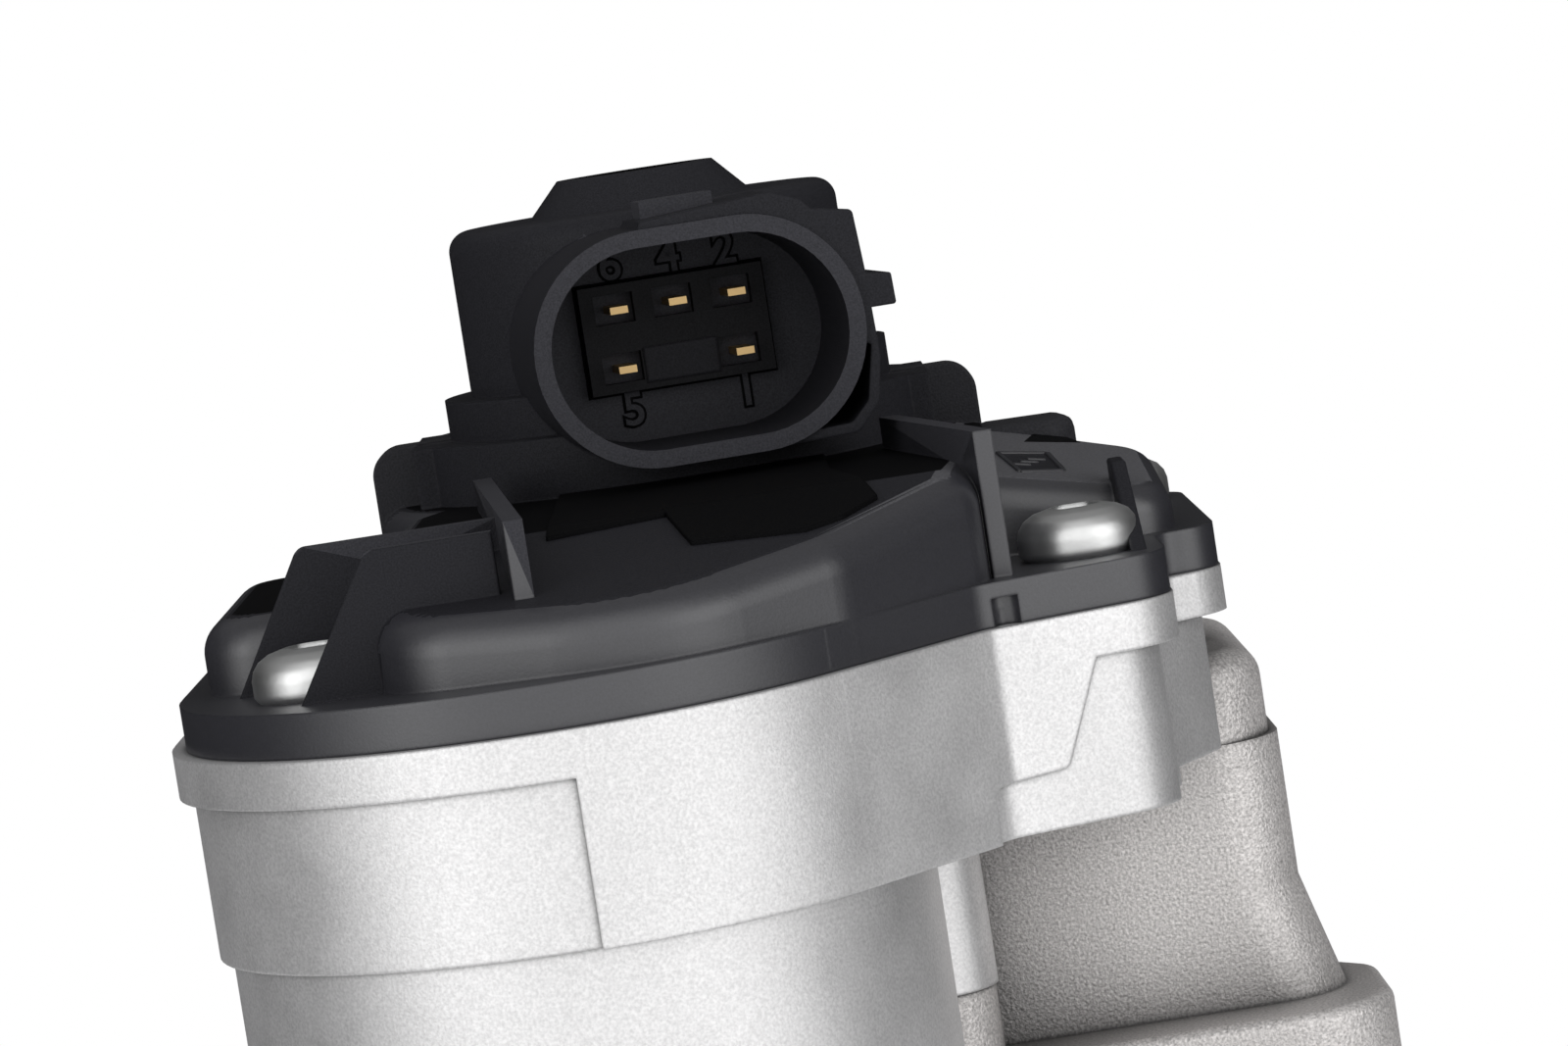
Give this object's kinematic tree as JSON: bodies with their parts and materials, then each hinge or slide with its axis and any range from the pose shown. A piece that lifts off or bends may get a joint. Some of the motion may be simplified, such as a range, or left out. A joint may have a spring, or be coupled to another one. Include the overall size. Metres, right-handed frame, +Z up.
{
  "type": "electric exhaust gas recirculation valve",
  "caption": "Electric exhaust gas recirculation valve: a motor and gear train in a cast case turn a cam that pushes a poppet valve open; lift sensor under the connector tower.",
  "frame": {"origin": "centre of the gas inlet at the mounting face, on the valve stem axis", "axes": "+Z up the stem towards the sensor tower, -Y towards the motor and the connector mouth, +X towards the gas outlet"},
  "size_m": [0.0762, 0.1008, 0.0907],
  "materials": {
    "die_cast": "fine sand-cast grain",
    "rough_cast": "coarse blasted casting",
    "black_plastic": "glass-filled, satin",
    "zinc": "zinc plated",
    "steel": "ground",
    "spring_steel": "wire",
    "brass": "plated",
    "copper": "enamelled",
    "gear_plastic": "moulded",
    "sintered": "sintered",
    "ferrite": "pressed",
    "rubber": "moulded",
    "board": "laminate",
    "carbon": "pressed"
  },
  "bodies": {
    "frame": {"actuator_housing": "die_cast", "valve_body": "rough_cast", "gear_cover": "black_plastic", "terminal_block": "black_plastic", "cover_screws": "zinc", "body_screws": "zinc", "motor_screws": "zinc", "motor_can": "steel", "motor_cap": "die_cast", "motor_cap_seal": "rubber", "motor_disc_spring": "spring_steel", "motor_front_plate": "steel", "motor_front_bush": "sintered", "motor_rear_bush": "sintered", "motor_magnets": "ferrite", "brush_plate": "black_plastic", "motor_brushes": "carbon", "intermediate_axle": "steel", "guide_sleeve": "steel", "cam_retaining_ring": "spring_steel", "thrust_washer": "brass", "seat_ring": "steel", "stem_bush": "sintered", "stem_seal": "rubber", "body_gasket": "sintered", "cover_gasket": "rubber", "connector_pins": "brass", "motor_lead_bars": "brass", "sensor_board": "board", "hall_sensor": "carbon"},
    "rotor": {"motor_shaft": "steel", "armature_core": "sintered", "armature_windings": "copper", "commutator": "copper", "motor_pinion": "brass"},
    "intermediate": {"intermediate_wheel": "gear_plastic", "intermediate_pinion": "sintered"},
    "cam": {"output_gear": "gear_plastic", "cam_sleeve": "steel"},
    "valve": {"valve_stem": "steel", "valve_disc": "steel", "cross_pin": "steel", "spring_retainer": "steel", "magnet_carrier": "gear_plastic", "sensor_magnet": "ferrite", "return_spring": "spring_steel"},
    "right_roller": {"roller_right": "steel"},
    "left_roller": {"roller_left": "steel"}
  },
  "joints": [
    {"name": "motor_spin", "type": "hinge", "parent": "frame", "child": "rotor", "pos_m": [-0.0095, -0.041, 0.06], "axis": [0, 0, 1], "range_deg": [0, 1433.33], "stiffness_Nm_per_rad": 0.000069029, "springref_deg": -1911.11},
    {"name": "intermediate_spin", "type": "hinge", "parent": "frame", "child": "intermediate", "pos_m": [0.00578, -0.02689, 0.06], "axis": [0, 0, 1], "range_deg": [-430.01, 0]},
    {"name": "cam_spin", "type": "hinge", "parent": "frame", "child": "cam", "pos_m": [0, 0, 0.06], "axis": [0, 0, 1], "range_deg": [0, 120.01]},
    {"name": "valve_lift", "type": "slide", "parent": "frame", "child": "valve", "axis": [0, 0, -1], "range_m": [0, 0.006], "deforming": ["return_spring"]},
    {"name": "right_roller_spin", "type": "hinge", "parent": "valve", "child": "right_roller", "pos_m": [0, 0, 0.0625], "axis": [1, 0, 0], "range_deg": [-487.3, 0]},
    {"name": "left_roller_spin", "type": "hinge", "parent": "valve", "child": "left_roller", "pos_m": [0, 0, 0.0625], "axis": [1, 0, 0], "range_deg": [0, 487.3]}
  ],
  "couplings": [
    {"joint": "intermediate_spin", "follows": "motor_spin", "ratio": -0.3},
    {"joint": "cam_spin", "follows": "motor_spin", "ratio": 0.083721},
    {"joint": "valve_lift", "follows": "motor_spin", "m_per_rad": 0.00023984},
    {"joint": "right_roller_spin", "follows": "motor_spin", "ratio": -0.33991},
    {"joint": "left_roller_spin", "follows": "motor_spin", "ratio": 0.33991}
  ]
}
